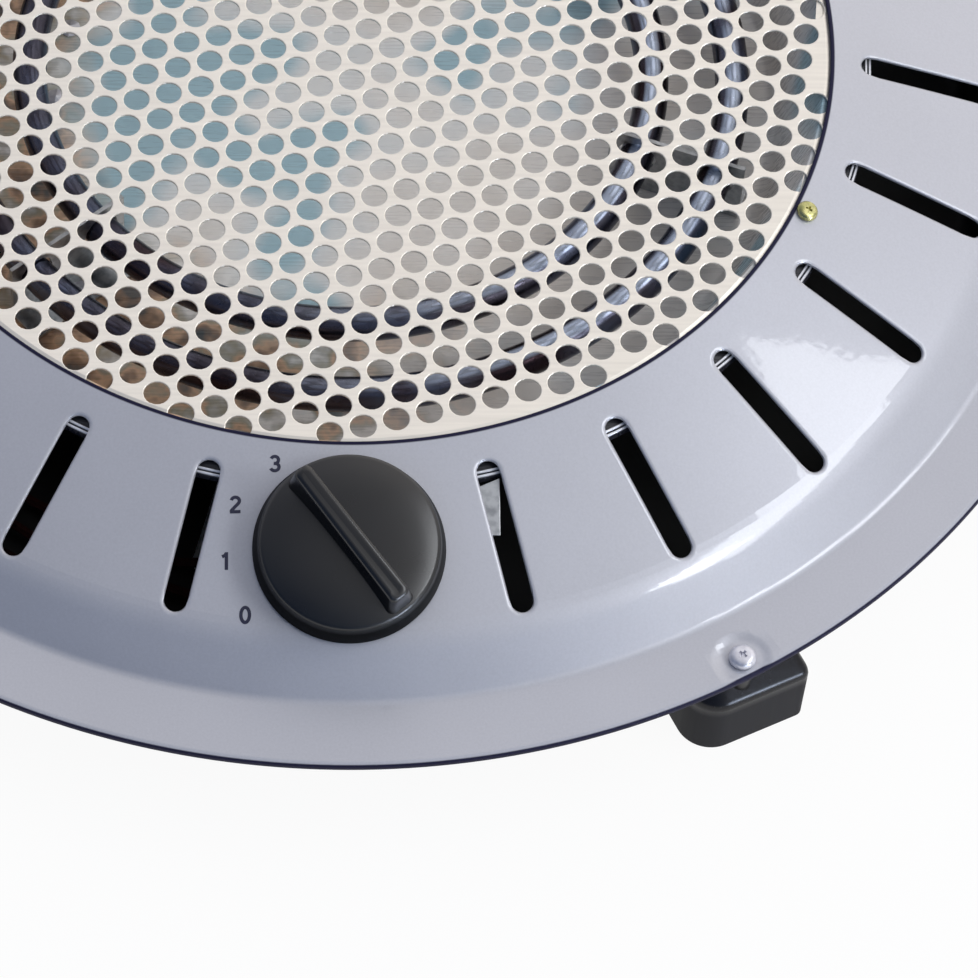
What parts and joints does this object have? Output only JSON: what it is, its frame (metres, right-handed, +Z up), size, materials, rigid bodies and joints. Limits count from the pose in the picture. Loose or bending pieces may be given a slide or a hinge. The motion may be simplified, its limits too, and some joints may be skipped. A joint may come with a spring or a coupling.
{
  "type": "electric brazier",
  "caption": "Round low under-table electric heater: slotted sheet ring, perforated grille over tubular elements, stepped control knob, moulded feet.",
  "frame": {"origin": "on the heater's round axis, in the plane of the feet's undersides", "axes": "+Z up along the axis; -Y from the axis towards the knob; +X to the right of the knob as its user sees it"},
  "size_m": [0.3879, 0.3852, 0.0677],
  "materials": {
    "ring_paint": "gloss silver-grey paint over pressed steel",
    "grille_nickel": "bright nickel-plated perforated steel",
    "reflector": "bright rolled reflector sheet",
    "casing_paint": "black heat-resistant paint",
    "black_plastic": "fine-grained moulded thermoset plastic",
    "element_sheath": "dark blue-black oxidised stainless sheath",
    "bright_zinc": "bright zinc plating",
    "yellow_zinc": "yellow-passivated zinc plating",
    "steatite": "unglazed steatite ceramic",
    "brass": "plain brass",
    "phenolic": "moulded phenolic",
    "nylon": "natural nylon",
    "galvanised": "galvanised steel sheet",
    "wire_red": "silicone insulation",
    "wire_blue": "silicone insulation",
    "wire_green": "silicone insulation"
  },
  "bodies": {
    "root": {"block_screw": "bright_zinc", "bracket_rivet_1": "bright_zinc", "bracket_rivet_2": "bright_zinc", "bracket_rivet_3": "bright_zinc", "clip_rivet_1": "bright_zinc", "clip_rivet_2": "bright_zinc", "cord_gland": "black_plastic", "cutout_clip": "galvanised", "earth_screw": "brass", "element_bracket_1": "galvanised", "element_bracket_2": "galvanised", "element_bracket_3": "galvanised", "element_bush_inner_a": "steatite", "element_bush_inner_b": "steatite", "element_bush_outer_a": "steatite", "element_bush_outer_b": "steatite", "element_pin_inner_a": "brass", "element_pin_inner_b": "brass", "element_pin_outer_a": "brass", "element_pin_outer_b": "brass", "foot_1": "black_plastic", "foot_2": "black_plastic", "foot_3": "black_plastic", "foot_screw_1": "bright_zinc", "foot_screw_2": "bright_zinc", "foot_screw_3": "bright_zinc", "grille": "grille_nickel", "grille_nut_1": "bright_zinc", "grille_nut_2": "bright_zinc", "grille_nut_3": "bright_zinc", "grille_screw_1": "yellow_zinc", "grille_screw_2": "yellow_zinc", "grille_screw_3": "yellow_zinc", "heating_element_inner": "element_sheath", "heating_element_outer": "element_sheath", "lower_casing": "casing_paint", "reflector_pan": "reflector", "switch_body": "phenolic", "switch_heat_shield": "galvanised", "switch_nut": "bright_zinc", "switch_spacer": "bright_zinc", "switch_tab_1": "brass", "switch_tab_2": "brass", "switch_tab_3": "brass", "switch_tab_4": "brass", "terminal_block": "nylon", "thermal_cutout": "phenolic", "top_ring": "ring_paint", "wire_earth": "wire_green", "wire_inner_element": "wire_red", "wire_line": "wire_red", "wire_neutral_inner": "wire_blue", "wire_neutral_outer": "wire_blue", "wire_outer_element": "wire_red", "wire_switch_feed": "wire_red"},
    "knob": {"knob": "black_plastic", "switch_shaft": "bright_zinc"}
  },
  "joints": [
    {"name": "knob_turn", "type": "hinge", "parent": "root", "child": "knob", "pos_m": [0, -0.145, 0.04586], "axis": [0, -0.2924, 0.9563], "range_deg": [0, 84]}
  ]
}
